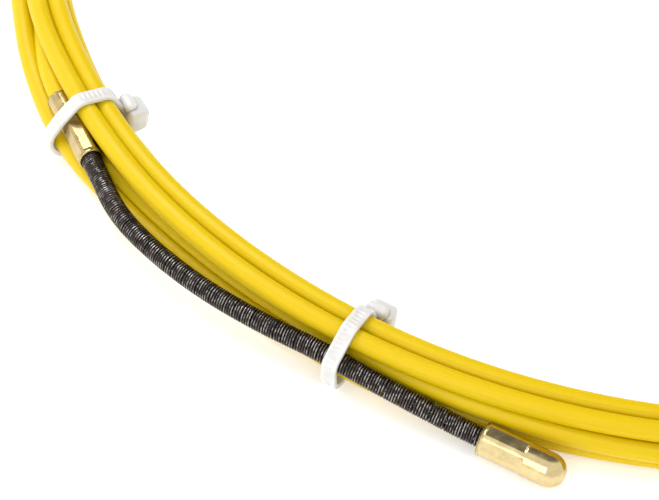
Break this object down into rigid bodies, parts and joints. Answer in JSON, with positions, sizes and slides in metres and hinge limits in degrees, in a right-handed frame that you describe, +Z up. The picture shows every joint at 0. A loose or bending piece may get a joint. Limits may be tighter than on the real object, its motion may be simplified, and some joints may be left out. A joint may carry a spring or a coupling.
{
  "type": "coiled fish tape",
  "caption": "Tied coil of round nylon fish tape with a crimped spring leader, a bullet nose and a rear pulling eye.",
  "frame": {"origin": "on the floor under the middle of the coil's bounding box", "axes": "+Z up, square to the coil; the leader's nose lies near 233 degrees about +Z from +X"},
  "size_m": [0.2763, 0.272, 0.0132],
  "materials": {
    "tape": "smooth extruded nylon, satin gloss",
    "brass": "turned and polished, crimped flats",
    "spring_steel": "blackened spring wire, lightly oiled",
    "wire_rope": "bright stranded steel",
    "tie_nylon": "natural translucent nylon, ribbed strap"
  },
  "bodies": {
    "coil": {"tape_coil": "tape", "tape_leader_end": "tape", "tape_eye_end": "tape", "leader_ferrule": "brass", "eye_ferrule": "brass", "spring_rear": "spring_steel", "core_rear": "wire_rope", "pulling_eye": "brass", "ferrule_tie": "tie_nylon", "spring_tie": "tie_nylon", "coil_ties": "tie_nylon"},
    "leader_tip": {"spring_front": "spring_steel", "core_front": "wire_rope", "bullet_nose": "brass"}
  },
  "joints": [
    {"name": "leader_flex", "type": "hinge", "parent": "coil", "child": "leader_tip", "pos_m": [-0.10056, -0.09215, 0.006], "axis": [0, 0, -1], "range_deg": [0, 35], "stiffness_Nm_per_rad": 0.02}
  ]
}
